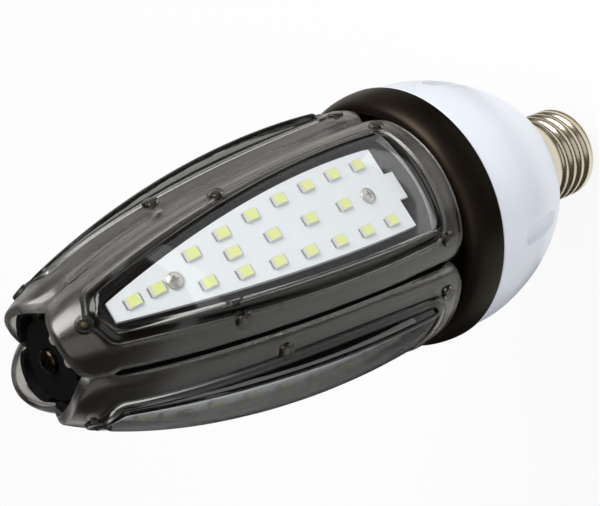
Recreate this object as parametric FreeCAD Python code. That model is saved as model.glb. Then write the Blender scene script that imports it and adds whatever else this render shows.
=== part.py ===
import FreeCAD, Part
import math
import os

# Corn LED bulb on an E27 cap. Four curved LED modules stand round the axis between a collar and an
# open nose, and the collar closes the driver housing. Millimetres, Z up from the cap contact, X out of
# the first module's face.

# Cap
CAP_R = 13.15              # crest of the E27 thread
CAP_TOP = 27.05            # end of the shell at the housing, above the contact
THREAD_PITCH = 3.629
THREAD_DEPTH = 1.1
CAP_WALL = 0.65            # left under the thread
CAP_LIP = 0.8              # turned in edge at the shell's foot
SKIRT = 6.6                # plain skirt under the housing
SHELL_FOOT = 4.4
SHELL_BORE = CAP_R - THREAD_DEPTH - CAP_WALL
CONTACT_R = 4.8
CONTACT_T = 1.5
CONTACT_BEVEL = 1.6
INSULATOR_STEP = 1.8       # insulator's cone inside the shell's bore
INSULATOR_T = 3.0
RIVET_R = 1.2

# Driver housing
BODY_R = 34.85             # widest ring, where collar and housing meet
HOUSING_LENGTH = 51.5      # long half axis of the housing's ellipse
NECK_R = CAP_R + 2.05
HOUSING_WALL = 2.4
NECK_WALL = 12.0           # solid neck above the cap
SPIGOT_L = 11.0            # housing spigot inside the shell
SPIGOT_WALL = 2.0
LEDGE = -20.0              # ledge for the driver board, from the joint ring
HOUSING_STEPS = 10         # straight steps along the housing's curve
POCKET_R = 2.5             # screw pockets, between the modules
POCKET_OUT = BODY_R - 3.25
POCKET_TOP = -5.5          # seat of the screws deep in the pockets, from the joint ring
POCKET_WALL = 0.8
DRIVER_ROOM = POCKET_OUT - POCKET_R - POCKET_WALL
DRIVER_PLAY = 0.3
JOINT_Z = CAP_TOP + HOUSING_LENGTH * math.sqrt(1 - (NECK_R / BODY_R) ** 2)

# Collar, with heights above the joint ring
BAND_H = 9.4
BAND_FALL = 3.85           # from the joint ring in to the top of the convex band
BAND_STEPS = 6
LIP_T = 1.4
GROOVE = 1.8               # depth behind the lip
SEAT_RISE = 3.8            # seat of the modules above the covers' foot
SEAT_PLAY = 1.1            # seat inside the covers' corners
COLLAR_WALL = 2.0
WEB_T = 4.0
SPIGOT_H = 4.5             # collar spigot in the housing
SPIGOT_PLAY = 0.2
WIRE_SLOT = (9.0, 14.0, 4.0)   # from, to, width

# Modules, with heights above the joint ring
MODULES = 4
SEAM = 1.75                # open slot between two covers
SINK_SEAM = 2.75           # open slot between two heat sinks
MODULE_AXIS = 6.0          # flanges are turned about a line this far out from the bulb's axis
COVER_GAP = 1.3            # open line between the collar's band and the covers
COVER_FOOT = BAND_H + COVER_GAP
COVER_SPAN = 104.3
COVER_TIP = COVER_FOOT + COVER_SPAN
COVER_CREST = BODY_R - 2.55
COVER_CENTRE = COVER_FOOT + 4.3
NOSE_BLUNT = 10.0          # the flange's ellipse would close this far past the tip
COVER_LENGTH = COVER_TIP - COVER_CENTRE + NOSE_BLUNT
COVER_STEPS = 9            # straight steps along a cover's long curve
COVER_HALF_W = 20.2
COVER_SHOULDER_W = 15.5    # half width where the taper turns towards the nose
COVER_NOSE_W = 10.8        # half width where the round nose begins
COVER_NOSE_L = 10.7
COVER_CORNER = 4.0
FLANGE_WALL = 2.0
COLLAR_TOP = COVER_FOOT + SEAT_RISE

# Raised window of a cover
WINDOW_CREST = COVER_CREST + 0.45
WINDOW_ARC = 209.0         # radius along the bulb
WINDOW_AXIS = -8.0         # windows are turned about a line on the far side of the bulb's axis
WINDOW_WALL = 1.3
WINDOW_FOOT = COVER_FOOT + 8.1
WINDOW_TIP = COVER_TIP - 8.3
WINDOW_PEAK = WINDOW_FOOT + 11.2
WINDOW_SIDE = [(14.4, WINDOW_FOOT), (12.7, WINDOW_FOOT + 44.2), (5.0, WINDOW_TIP - 1.6)]
WINDOW_CORNER = 2.2
RIDGE_STEP = 2.7           # ridge outside the window's outline
RIDGE_W = 1.1
RIDGE_H = 0.6

# Blind screw bosses of a cover: side step from the centre line and height
BOSS_R = 2.0
BOSS_H = 0.8
BOSSES = [(16.5, COVER_FOOT + 5.7), (-16.5, COVER_FOOT + 5.7), (15.2, COVER_FOOT + 56.3),
          (-13.8, COVER_FOOT + 66.6), (0.0, COVER_TIP - 5.6)]

# Gasket and heat sink
GASKET = 0.6
GASKET_OUT = RIDGE_STEP - 0.5
GASKET_IN = 0.3
SINK_WALL = 3.4
SINK_PAD = 3.0             # pad under the board
FOOT_T = 3.0               # end plates
FOOT_IN = 8.0              # foot plates stay this far from the axis
SINK_SHOULDER = COVER_TIP - 6.0
SINK_TIP = COVER_TIP - 3.0

# LED board, bent along the bulb, with its tab
BOARD_T = 1.6
BOARD_PLAY = 0.8           # pocket round the board
BOARD_CREST = WINDOW_CREST - 3.75
BOARD_ARC = 180.0
BOARD_FOOT = WINDOW_FOOT + 6.7
BOARD_TIP = WINDOW_TIP - 3.9
BOARD_PEAK = BOARD_FOOT + 12.5
BOARD_SIDE = [(10.7, BOARD_FOOT), (10.0, BOARD_FOOT + 31.5), (2.3, BOARD_TIP)]
TAB_W, TAB_L = 7.3, 3.0

# LEDs and screws of a board
LED_L, LED_W, LED_H = 3.5, 2.8, 0.65
LED_MARGIN = 3.2           # outer LED rows inside the board's edge
PAIR_ROWS = 7
PAIR_START, PAIR_PITCH = BOARD_FOOT + 6.5, 8.35
MIDDLE_ROWS = 4
MIDDLE_START, MIDDLE_PITCH = BOARD_FOOT + 16.5, 10.6
TIP_LEDS = [BOARD_TIP - 10.5, BOARD_TIP - 5.0]
BOARD_SCREWS = [BOARD_FOOT + 8.8, BOARD_TIP - 14.6]
HOLE_PLAY = 0.25

# Nose
NOSE_OPENING = 7.5         # covers stay this far from the axis
NOSE_PLATE_R = 9.3
NOSE_PLATE_T = 2.0
NOSE_PLAY = 0.3
ROD_R = 3.5
ROD_PLAY = 0.9             # module end plates round the centre rod

# Fasteners: head radius, head height, shank radius, shank length
BOARD_SCREW = (2.0, 0.9, 1.1, 3.0)
FOOT_SCREW = (2.6, 1.8, 1.5, 6.5)
NOSE_SMALL = (1.3, 1.1, 0.8, 4.5)
NOSE_CENTRE = (2.9, 2.0, 1.6, 9.0)
HOUSING_SCREW = (2.2, 1.8, 1.5, 10.5)
FOOT_SCREW_SIDE = 6.5
FOOT_SCREW_IN = 1.4        # foot screw heads inside the collar's wall
NOSE_SCREWS = [(6.0, 2.4), (6.9, -3.6)]     # out from the axis and to the side

# Driver parts: sizes along X, Y and Z, or radius and height, and their places on the board
TRANSFORMER_CORE = (18.0, 8.0, 14.0)
TRANSFORMER_COIL = (14.0, 14.0, 9.0)
CAPACITOR = (5.0, 16.0)
CHOKE = (5.5, 9.0)
CHOKE_HOLE = 2.0
RECTIFIER = (8.0, 3.5, 8.0)
TRANSISTOR = (10.0, 4.5, 14.0)
ROUND_PART_AT = (0.53 * DRIVER_ROOM, 0.35 * DRIVER_ROOM)
FLAT_PART_AT = (0.42 * DRIVER_ROOM, -0.53 * DRIVER_ROOM)

REACH = 2 * BODY_R         # longer than any radius, for cutting bodies
OUT = "parts"


def vec(x, y, z):
    return FreeCAD.Vector(x, y, z)


AXIS = vec(0, 0, 1)
ORIGIN = vec(0, 0, 0)


def save(name, shape):
    shape.exportStep(os.path.join(OUT, name + ".step"))


def mirrored(points):
    return [vec(p.x, -p.y, p.z) for p in points]


def closed(edges):
    return Part.Wire(Part.__sortEdges__(edges))


def lines(points):
    return [Part.makeLine(a, b) for a, b in zip(points[:-1], points[1:])]


def turned(points, x_axis=0.0):
    """Solid turned about a line parallel to Z from a closed outline of (x, z) points."""
    corners = [vec(x, 0, z) for x, z in points]
    face = Part.Face(Part.makePolygon(corners + corners[:1]))
    return face.revolve(vec(x_axis, 0, 0), AXIS, 360)


def rod(r, z0, z1, x=0.0, y=0.0):
    return Part.makeCylinder(r, z1 - z0, vec(x, y, z0))


def block(x0, x1, y0, y1, z0, z1):
    return Part.makeBox(x1 - x0, y1 - y0, z1 - z0, vec(x0, y0, z0))


def block_at(size, x, y, z):
    """Block of a size that stands on height z over a place."""
    return block(x - size[0] / 2, x + size[0] / 2, y - size[1] / 2, y + size[1] / 2, z, z + size[2])


def steps(z0, z1, count):
    return [z0 + (z1 - z0) * k / count for k in range(count + 1)]


def ellipse_r(radial, axial, z):
    """Radius of an upright ellipse at a height above or below its middle."""
    return radial * math.sqrt(1 - (z / axial) ** 2)


def arc_x(radius, crest, peak, z):
    """Distance from the axis of an arc that is highest at the given peak."""
    return crest - radius + math.sqrt(radius ** 2 - (z - peak) ** 2)


def round_axis(shape, k):
    """Copy of the first module's shape at module k."""
    copy = shape.copy()
    copy.rotate(ORIGIN, AXIS, 360.0 * k / MODULES)
    return copy


# Bodies that bound every module, for the module whose face looks along X

def flange_body(depth):
    """Everything inside the flange surface, moved in by depth, and open past the nose."""
    length = COVER_LENGTH - depth
    rise = steps(COVER_FOOT - COVER_GAP - COVER_CENTRE, length - NOSE_BLUNT, COVER_STEPS)
    profile = [(ellipse_r(COVER_CREST - depth, length, z), JOINT_Z + COVER_CENTRE + z) for z in rise]
    top = JOINT_Z + COVER_TIP + NOSE_BLUNT
    profile += [(profile[-1][0], top), (MODULE_AXIS, top), (MODULE_AXIS, profile[0][1])]
    return turned(profile, MODULE_AXIS)


def window_body(depth):
    """Everything inside the window surface, moved in by depth."""
    levels = steps(COVER_FOOT, COVER_TIP, COVER_STEPS)
    radius, crest = WINDOW_ARC - depth, WINDOW_CREST - depth
    profile = [(arc_x(radius, crest, WINDOW_PEAK, z), JOINT_Z + z) for z in levels]
    profile += [(WINDOW_AXIS, profile[-1][1]), (WINDOW_AXIS, profile[0][1])]
    return turned(profile, WINDOW_AXIS)


def board_x(z):
    """Distance of the board's LED side from the axis."""
    return arc_x(BOARD_ARC, BOARD_CREST, BOARD_PEAK, z)


def board_slope(z):
    return math.asin((z - BOARD_PEAK) / BOARD_ARC)


def board_slab(depth, height):
    """Bent slab across the module: from depth under the LED side up to a height over it."""
    arcs = []
    for shift in (-depth, height):
        levels = (COVER_FOOT, BOARD_PEAK, COVER_TIP)
        arcs.append([vec(arc_x(BOARD_ARC + shift, BOARD_CREST + shift, BOARD_PEAK, z), -REACH, JOINT_Z + z)
                     for z in levels])
    inner, outer = arcs
    edges = [Part.Arc(*inner).toShape(), Part.Arc(*outer).toShape()]
    edges += [Part.makeLine(inner[0], outer[0]), Part.makeLine(inner[2], outer[2])]
    return Part.Face(closed(edges)).extrude(vec(0, 2 * REACH, 0))


def sector(gap, z0, z1):
    """One module's share of the space round the axis, kept back by half the gap on both sides."""
    half = math.pi / MODULES
    apex = 0.5 * gap / math.sin(half)
    corners = [vec(apex, 0, z0), vec(REACH + apex, REACH * math.tan(half), z0)]
    corners.append(vec(REACH + apex, -REACH * math.tan(half), z0))
    return Part.Face(Part.makePolygon(corners + corners[:1])).extrude(vec(0, 0, z1 - z0))


def outline_prism(wire):
    """Body over an outline seen along X, outside the open nose."""
    body = Part.Face(wire).extrude(vec(REACH, 0, 0))
    body.translate(vec(NOSE_OPENING, 0, 0))
    return body


def window_outline(step):
    """Rounded outline of the window seen along X, moved out by step."""
    side = [vec(0, w, JOINT_Z + z) for w, z in WINDOW_SIDE]
    other = mirrored(side)
    tip = vec(0, 0, JOINT_Z + WINDOW_TIP)
    edges = [Part.Arc(*side).toShape(), Part.Arc(*other).toShape()]
    edges += [Part.Arc(side[2], tip, other[2]).toShape(), Part.makeLine(other[0], side[0])]
    return closed(edges).makeOffset2D(-WINDOW_CORNER).makeOffset2D(WINDOW_CORNER + step)


def cover_outline():
    """Outline of the cover seen along X: round corners at the collar, tapering to a round nose."""
    foot, tip = JOINT_Z + COVER_FOOT, JOINT_Z + COVER_TIP
    waist, shoulder = foot + 0.5 * COVER_SPAN, foot + 0.76 * COVER_SPAN
    side = [vec(0, COVER_HALF_W, foot), vec(0, COVER_HALF_W, waist), vec(0, COVER_SHOULDER_W, shoulder)]
    side.append(vec(0, COVER_NOSE_W, tip - COVER_NOSE_L))
    other = mirrored(side)
    edges = lines(side) + lines(other) + [Part.makeLine(other[0], side[0])]
    edges.append(Part.Arc(side[-1], vec(0, 0, tip), other[-1]).toShape())
    return closed(edges).makeOffset2D(-COVER_CORNER).makeOffset2D(COVER_CORNER)


def board_outline(step):
    """Outline of the board seen along X with the tab at its foot, moved out by step."""
    side = [vec(0, w, JOINT_Z + z) for w, z in BOARD_SIDE]
    other = mirrored(side)
    tab = [side[0], vec(0, TAB_W / 2, side[0].z), vec(0, TAB_W / 2, side[0].z - TAB_L)]
    edges = [Part.Arc(*side).toShape(), Part.Arc(*other).toShape(), Part.makeLine(side[2], other[2])]
    edges += lines(tab + mirrored(tab[::-1]))
    wire = closed(edges)
    return wire.makeOffset2D(step) if step else wire


def board_half_width(z):
    """Half width of the board at a height above the joint ring, from the arc of its long side."""
    (w1, z1), (w2, z2), (w3, z3) = BOARD_SIDE
    c1 = (w2 ** 2 - w1 ** 2 + z2 ** 2 - z1 ** 2) / 2
    c2 = (w3 ** 2 - w1 ** 2 + z3 ** 2 - z1 ** 2) / 2
    det = (w2 - w1) * (z3 - z1) - (w3 - w1) * (z2 - z1)
    w0 = (c1 * (z3 - z1) - c2 * (z2 - z1)) / det
    z0 = (c2 * (w2 - w1) - c1 * (w3 - w1)) / det
    return w0 + math.sqrt((w1 - w0) ** 2 + (z1 - z0) ** 2 - (z - z0) ** 2)


def flange_point(side, z):
    """Point of the flange surface at a side step and height, and the direction out of the surface."""
    crest = ellipse_r(COVER_CREST, COVER_LENGTH, z - COVER_CENTRE)
    x = MODULE_AXIS + math.sqrt((crest - MODULE_AXIS) ** 2 - side ** 2)
    across = vec(x - MODULE_AXIS, side, 0).normalize()
    climb = (z - COVER_CENTRE) * COVER_CREST ** 2 / (COVER_LENGTH ** 2 * crest)
    return vec(x, side, JOINT_Z + z), vec(across.x, across.y, climb).normalize()


# Screws and their places

def screw(size, at, direction):
    """Headed screw with the underside of its head at the given point, head towards direction."""
    head_r, head_h, shank_r, shank_l = size
    head = Part.makeCylinder(head_r, head_h, at, direction)
    return head.fuse(Part.makeCylinder(shank_r, shank_l, at, direction * -1)).removeSplitter()


def shank_hole(size, at, direction, play=0.0):
    return Part.makeCylinder(size[2] + play, size[3], at, direction * -1)


def board_screw_places():
    """Points on the board's LED side and the directions out of it."""
    places = []
    for z in BOARD_SCREWS:
        out = vec(math.cos(board_slope(z)), 0, math.sin(board_slope(z)))
        places.append((vec(board_x(z), 0, JOINT_Z + z), out))
    return places


def collar_seat_r():
    """Seat of the modules, inside the covers' corners between two modules."""
    inner = COVER_CREST - FLANGE_WALL - MODULE_AXIS
    along = MODULE_AXIS * math.cos(math.pi / MODULES)
    return along + math.sqrt(along ** 2 - MODULE_AXIS ** 2 + inner ** 2) - SEAT_PLAY


def foot_screw_places():
    """Points under the collar's web, with the heads downwards."""
    out = collar_seat_r() - COLLAR_WALL - FOOT_SCREW[0] - FOOT_SCREW_IN
    z = JOINT_Z + COLLAR_TOP - WEB_T
    return [(vec(out, side, z), AXIS * -1) for side in (FOOT_SCREW_SIDE, -FOOT_SCREW_SIDE)]


def nose_screw_places():
    z = JOINT_Z + SINK_SHOULDER + NOSE_PLATE_T
    return [(vec(out, side, z), AXIS) for out, side in NOSE_SCREWS]


def housing_screw_places():
    """Points in the floors of the housing's pockets."""
    places = []
    for k in range(MODULES):
        angle = math.pi * (2 * k + 1) / MODULES
        places.append(vec(POCKET_OUT * math.cos(angle), POCKET_OUT * math.sin(angle), JOINT_Z + POCKET_TOP))
    return places


# Cap

def cap_shell():
    """Nickel plated shell with the E27 screw thread, pushed on to the housing's spigot."""
    body = turned([(SHELL_BORE, SHELL_FOOT), (CAP_R - CAP_LIP, SHELL_FOOT), (CAP_R, SHELL_FOOT + CAP_LIP),
                   (CAP_R, CAP_TOP), (SHELL_BORE, CAP_TOP)])
    helix = Part.makeHelix(THREAD_PITCH, CAP_TOP - SKIRT - SHELL_FOOT, CAP_R)
    mouth, root = 0.42 * THREAD_PITCH, 0.14 * THREAD_PITCH
    outside, inside = CAP_R + 0.3 * THREAD_DEPTH, CAP_R - THREAD_DEPTH
    points = [vec(outside, 0, -mouth), vec(inside, 0, -root), vec(inside, 0, root), vec(outside, 0, mouth)]
    groove = Part.Wire(helix).makePipeShell([Part.makePolygon(points + points[:1])], True, True)
    groove.translate(vec(0, 0, SHELL_FOOT - 0.5 * THREAD_PITCH))
    return body.cut(groove)


def cap_insulator():
    """Black insulator that closes the shell's end round the contact."""
    top, cone_top = SHELL_FOOT + INSULATOR_T, SHELL_FOOT - 0.1 * INSULATOR_T
    return turned([(RIVET_R, CONTACT_T), (CONTACT_R, CONTACT_T), (SHELL_BORE - INSULATOR_STEP, cone_top),
                   (SHELL_BORE, SHELL_FOOT), (SHELL_BORE, top), (RIVET_R, top)])


def cap_contact():
    """Centre contact with its rivet through the insulator."""
    rivet_top = SHELL_FOOT + INSULATOR_T + RIVET_R
    return turned([(0, 0), (CONTACT_R - CONTACT_BEVEL, 0), (CONTACT_R, 0.6 * CONTACT_T),
                   (CONTACT_R, CONTACT_T), (RIVET_R, CONTACT_T), (RIVET_R, rivet_top), (0, rivet_top)])


# Driver housing and collar

def driver_housing():
    """White housing with the spigot for the cap, a ledge for the driver and the screw pockets."""
    def outside(z):
        return ellipse_r(BODY_R, HOUSING_LENGTH, z - JOINT_Z)

    spigot_foot, floor, ledge = CAP_TOP - SPIGOT_L, CAP_TOP + NECK_WALL, JOINT_Z + LEDGE
    neck_bore, lower_room = SHELL_BORE - SPIGOT_WALL, outside(floor) - HOUSING_WALL
    profile = [(outside(z), z) for z in steps(CAP_TOP, JOINT_Z, HOUSING_STEPS)]
    profile += [(DRIVER_ROOM, JOINT_Z), (DRIVER_ROOM, ledge), (lower_room, ledge), (lower_room, floor),
                (neck_bore, floor), (neck_bore, spigot_foot), (SHELL_BORE, spigot_foot)]
    profile.append((SHELL_BORE, CAP_TOP))
    cuts = []
    for p in housing_screw_places():
        cuts.append(rod(POCKET_R, CAP_TOP, p.z, p.x, p.y))
        cuts.append(rod(HOUSING_SCREW[2], p.z, JOINT_Z, p.x, p.y))
    return turned(profile).cut(cuts[0].multiFuse(cuts[1:]))


def collar():
    """Bronze coloured collar: convex band, groove under the covers and the flat seat of the modules."""
    edge_r, seat_r = BODY_R - BAND_FALL, collar_seat_r()
    lip_r, bore_r, spigot_r = edge_r - LIP_T, seat_r - COLLAR_WALL, DRIVER_ROOM - SPIGOT_PLAY
    groove, web = BAND_H - GROOVE, COLLAR_TOP - WEB_T
    bends = steps(0.0, math.pi / 2, BAND_STEPS)
    profile = [(edge_r + BAND_FALL * math.cos(b), BAND_H * math.sin(b)) for b in bends]
    profile += [(lip_r, BAND_H), (lip_r, groove), (seat_r, groove), (seat_r, COLLAR_TOP), (ROD_R, COLLAR_TOP),
                (ROD_R, web), (bore_r, web), (bore_r, -SPIGOT_H), (spigot_r, -SPIGOT_H), (spigot_r, 0.0)]
    body = turned([(r, JOINT_Z + z) for r, z in profile])
    cuts = [rod(HOUSING_SCREW[2], p.z, p.z + HOUSING_SCREW[3], p.x, p.y) for p in housing_screw_places()]
    slot_in, slot_out, slot_w = WIRE_SLOT
    slot = block(slot_in, slot_out, -slot_w / 2, slot_w / 2, JOINT_Z + web, JOINT_Z + COLLAR_TOP)
    for k in range(MODULES):
        cuts.append(round_axis(slot, k))
        cuts += [round_axis(shank_hole(FOOT_SCREW, at, d), k) for at, d in foot_screw_places()]
    return body.cut(cuts[0].multiFuse(cuts[1:]))


# Module parts, built for the first module

def cover():
    """Smoked clear cover: round flange, raised window, ridge and five blind screw bosses."""
    flange = flange_body(0).common(outline_prism(cover_outline()))
    ridge = outline_prism(window_outline(RIDGE_STEP)).cut(outline_prism(window_outline(RIDGE_STEP - RIDGE_W)))
    ridge = flange_body(-RIDGE_H).common(ridge)
    window = window_body(0).common(outline_prism(window_outline(0)))
    share = sector(SEAM, JOINT_Z, JOINT_Z + COVER_TIP + NOSE_BLUNT)
    solid = flange.fuse(ridge).fuse(window).common(share)
    room = window_body(WINDOW_WALL).common(outline_prism(window_outline(-WINDOW_WALL)))
    shell = solid.cut(flange_body(FLANGE_WALL)).cut(room)
    bosses = []
    for side, z in BOSSES:
        point, out = flange_point(side, z)
        sunk = 0.5 * FLANGE_WALL
        bosses.append(Part.makeCylinder(BOSS_R, sunk + BOSS_H, point - out * sunk, out))
    return shell.fuse(bosses[0].multiFuse(bosses[1:])).removeSplitter()


def gasket():
    """Black silicone seal between cover and heat sink, inside the ridge."""
    ring = outline_prism(window_outline(GASKET_OUT)).cut(outline_prism(window_outline(GASKET_IN)))
    layer = flange_body(FLANGE_WALL).cut(flange_body(FLANGE_WALL + GASKET))
    return layer.common(ring)


def heat_sink():
    """Black cast heat sink: shell under the cover, end plates and the bent pad for the board."""
    foot, shoulder, tip = (JOINT_Z + z for z in (COLLAR_TOP, SINK_SHOULDER, SINK_TIP))
    depth = FLANGE_WALL + GASKET
    inside = flange_body(depth + SINK_WALL)
    solid = flange_body(depth).common(sector(SINK_SEAM, foot, tip))
    solid = solid.common(block(ROD_R + ROD_PLAY, REACH, -REACH, REACH, foot, tip))
    plates = block(FOOT_IN, REACH, -REACH, REACH, foot, foot + FOOT_T)
    plates = plates.fuse(block(0, REACH, -REACH, REACH, shoulder - FOOT_T, shoulder))
    body = solid.cut(inside).fuse(solid.common(plates))
    body = body.cut(outline_prism(board_outline(BOARD_PLAY)).common(board_slab(BOARD_T, BODY_R)))
    pad = outline_prism(board_outline(0)).common(board_slab(BOARD_T + SINK_PAD, -BOARD_T)).cut(inside)
    cuts = [rod(NOSE_PLATE_R + NOSE_PLAY, shoulder, tip)]
    places = [(BOARD_SCREW, board_screw_places()), (FOOT_SCREW, foot_screw_places())]
    for size, spots in places + [(NOSE_SMALL, nose_screw_places())]:
        cuts += [shank_hole(size, at, d) for at, d in spots]
    return body.fuse(pad).cut(cuts[0].multiFuse(cuts[1:])).removeSplitter()


def led_board():
    """White aluminium board, bent along the bulb."""
    body = outline_prism(board_outline(0)).common(board_slab(BOARD_T, 0.0))
    holes = [shank_hole(BOARD_SCREW, at, d, HOLE_PLAY) for at, d in board_screw_places()]
    return body.cut(holes[0].multiFuse(holes[1:]))


def leds(board):
    """The LED packages of one board, seated on its bend."""
    places = []
    for k in range(PAIR_ROWS):
        z = PAIR_START + k * PAIR_PITCH
        side = board_half_width(z) - LED_MARGIN
        places += [(side, z), (-side, z)]
    places += [(0.0, MIDDLE_START + k * MIDDLE_PITCH) for k in range(MIDDLE_ROWS)]
    places += [(0.0, z) for z in TIP_LEDS]
    packages = []
    for side, z in places:
        package = Part.makeBox(LED_H + BOARD_T, LED_W, LED_L, vec(-BOARD_T, -LED_W / 2, -LED_L / 2))
        package = package.cut(block(-REACH, -0.1 * LED_H, -LED_W, LED_W, -LED_L, LED_L))
        package.rotate(ORIGIN, vec(0, 1, 0), -math.degrees(board_slope(z)))
        package.translate(vec(board_x(z), side, JOINT_Z + z))
        packages.append(package)
    return Part.makeCompound(packages).cut(board)


# Nose

def nose_plate():
    """Black plate that ties the modules together under the open nose."""
    low = JOINT_Z + SINK_SHOULDER
    holes = [rod(NOSE_CENTRE[2], low, low + NOSE_PLATE_T)]
    holes += [shank_hole(NOSE_SMALL, at, d) for at, d in nose_screw_places()]
    return rod(NOSE_PLATE_R, low, low + NOSE_PLATE_T).cut(holes[0].multiFuse(holes[1:]))


def nose_screw():
    """Dome headed screw in the middle of the nose."""
    head_r, head_h, shank_r, shank_l = NOSE_CENTRE
    seat = JOINT_Z + SINK_SHOULDER + NOSE_PLATE_T
    ball_r = (head_r ** 2 + head_h ** 2) / (2 * head_h)
    dome = Part.makeSphere(ball_r, vec(0, 0, seat + head_h - ball_r))
    dome = dome.common(rod(head_r, seat, seat + head_h))
    return dome.fuse(rod(shank_r, seat - shank_l, seat)).removeSplitter()


def centre_rod():
    """Rod between collar and nose plate that the nose screw pulls on."""
    low, high = JOINT_Z + COLLAR_TOP - WEB_T, JOINT_Z + SINK_SHOULDER
    return rod(ROD_R, low, high).cut(rod(NOSE_CENTRE[2], high + NOSE_PLATE_T - NOSE_CENTRE[3], high))


# Driver

def driver_board():
    ledge = JOINT_Z + LEDGE
    return rod(DRIVER_ROOM - DRIVER_PLAY, ledge, ledge + BOARD_T)


def driver_parts():
    """Parts that stand on the driver board, by name."""
    z = JOINT_Z + LEDGE + BOARD_T
    x, y = ROUND_PART_AT
    flat_x, flat_y = FLAT_PART_AT
    core = block_at(TRANSFORMER_CORE, 0, 0, z)
    coil = block_at(TRANSFORMER_COIL, 0, 0, z + 0.5 * (TRANSFORMER_CORE[2] - TRANSFORMER_COIL[2]))
    return {
        "driver_transformer": core.fuse(coil),
        "driver_capacitor": rod(CAPACITOR[0], z, z + CAPACITOR[1], x, y),
        "driver_choke": rod(CHOKE[0], z, z + CHOKE[1], -x, y).cut(rod(CHOKE_HOLE, z, z + CHOKE[1], -x, y)),
        "driver_rectifier": block_at(RECTIFIER, -flat_x, flat_y, z),
        "driver_transistor": block_at(TRANSISTOR, flat_x, flat_y, z),
    }


# Fasteners, each kind in one node

def fasteners():
    kinds = {"board_screws": [], "foot_screws": []}
    for k in range(MODULES):
        kinds["board_screws"] += [round_axis(screw(BOARD_SCREW, at, d), k) for at, d in board_screw_places()]
        kinds["foot_screws"] += [round_axis(screw(FOOT_SCREW, at, d), k) for at, d in foot_screw_places()]
    kinds["nose_plate_screws"] = [screw(NOSE_SMALL, at, d) for at, d in nose_screw_places()]
    kinds["housing_screws"] = [screw(HOUSING_SCREW, p, AXIS * -1) for p in housing_screw_places()]
    return {name: Part.makeCompound(shapes) for name, shapes in kinds.items()}


def main():
    os.makedirs(OUT, exist_ok=True)
    board = led_board()
    pieces = {"cap_shell": cap_shell(), "cap_insulator": cap_insulator(), "cap_contact": cap_contact(),
              "driver_housing": driver_housing(), "collar": collar(), "nose_plate": nose_plate(),
              "nose_screw": nose_screw(), "centre_rod": centre_rod(), "driver_board": driver_board()}
    pieces.update(driver_parts())
    pieces.update(fasteners())
    module = {"cover": cover(), "gasket": gasket(), "heat_sink": heat_sink(), "led_board": board,
              "leds": leds(board)}
    for name, shape in module.items():
        for k in range(MODULES):
            pieces["%s_%d" % (name, k + 1)] = round_axis(shape, k)
    for name, shape in pieces.items():
        save(name, shape)


main()
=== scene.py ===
import bmesh
import bpy
import math
import numpy as np
from mathutils import Matrix, Vector


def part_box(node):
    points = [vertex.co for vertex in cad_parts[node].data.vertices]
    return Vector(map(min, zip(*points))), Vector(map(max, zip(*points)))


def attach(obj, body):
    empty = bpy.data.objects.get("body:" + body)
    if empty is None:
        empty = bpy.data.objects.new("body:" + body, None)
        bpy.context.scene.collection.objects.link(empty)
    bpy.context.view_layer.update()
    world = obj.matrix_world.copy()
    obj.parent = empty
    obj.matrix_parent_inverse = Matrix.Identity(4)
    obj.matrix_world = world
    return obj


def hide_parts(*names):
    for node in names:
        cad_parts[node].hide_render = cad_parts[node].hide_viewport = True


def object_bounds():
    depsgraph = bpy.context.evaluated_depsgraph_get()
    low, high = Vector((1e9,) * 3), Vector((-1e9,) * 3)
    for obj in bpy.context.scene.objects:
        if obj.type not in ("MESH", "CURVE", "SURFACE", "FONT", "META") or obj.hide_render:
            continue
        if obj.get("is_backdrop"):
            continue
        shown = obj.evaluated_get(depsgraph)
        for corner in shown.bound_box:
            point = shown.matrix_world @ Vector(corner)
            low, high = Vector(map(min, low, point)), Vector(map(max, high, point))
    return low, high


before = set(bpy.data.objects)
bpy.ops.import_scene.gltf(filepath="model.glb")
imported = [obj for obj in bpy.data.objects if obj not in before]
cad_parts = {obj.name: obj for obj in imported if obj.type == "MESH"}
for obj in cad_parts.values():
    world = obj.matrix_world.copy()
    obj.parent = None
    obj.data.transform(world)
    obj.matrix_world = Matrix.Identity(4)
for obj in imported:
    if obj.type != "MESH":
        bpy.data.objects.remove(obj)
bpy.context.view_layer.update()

# Studio: a white paper floor under the upright bulb, a soft key lamp high on one side, a weak fill on the
# other and a small strip by the cap. The camera stands where the photograph was taken, and is rolled so that
# the bulb lies across the picture.
MM = 0.001
FULL_TURN, QUARTER_TURN = 2 * math.pi, math.pi / 2
EYE = Vector((260.0, -67.3, 327.7)) * MM
AIM = Vector((0.0, 1.2, 109.4)) * MM
ROLL_UP = Vector((0.466, 0.835, -0.293))
LENS, SENSOR, NEAREST = 83.8, 36.0, 10.0
FLOOR_R, FLOOR_CORNERS, PAPER_GLOW = 4000.0, 64, 0.88
CLOTH_IN, CLOTH_OUT, CLOTH_Z, VELVET = 42.0, 1500.0, 0.5, "#1c1a18"
CARDS = [(65, 100, "#7d776f"), (100, 160, "#d0cbc2"), (250, 306, "#c8c6be")]
WALLS, DARK_WALLS = "#cbd0d6", "#413a35"


def linear(code):
    """An sRGB hex colour as linear red, green, blue and alpha."""
    parts = [int(code[i:i + 2], 16) / 255 for i in (1, 3, 5)]
    return [p / 12.92 if p <= 0.04045 else ((p + 0.055) / 1.055) ** 2.4 for p in parts] + [1.0]


def add_node(tree, kind, settings=None, links=None):
    """A new node with its own settings and socket values, and its sockets linked by name or number."""
    node = tree.nodes.new(kind)
    for name, value in (settings or {}).items():
        if isinstance(name, int) or name in node.inputs:
            node.inputs[name].default_value = value
        else:
            setattr(node, name, value)
    for name, socket in (links or {}).items():
        tree.links.new(socket, node.inputs[name])
    return node


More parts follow.
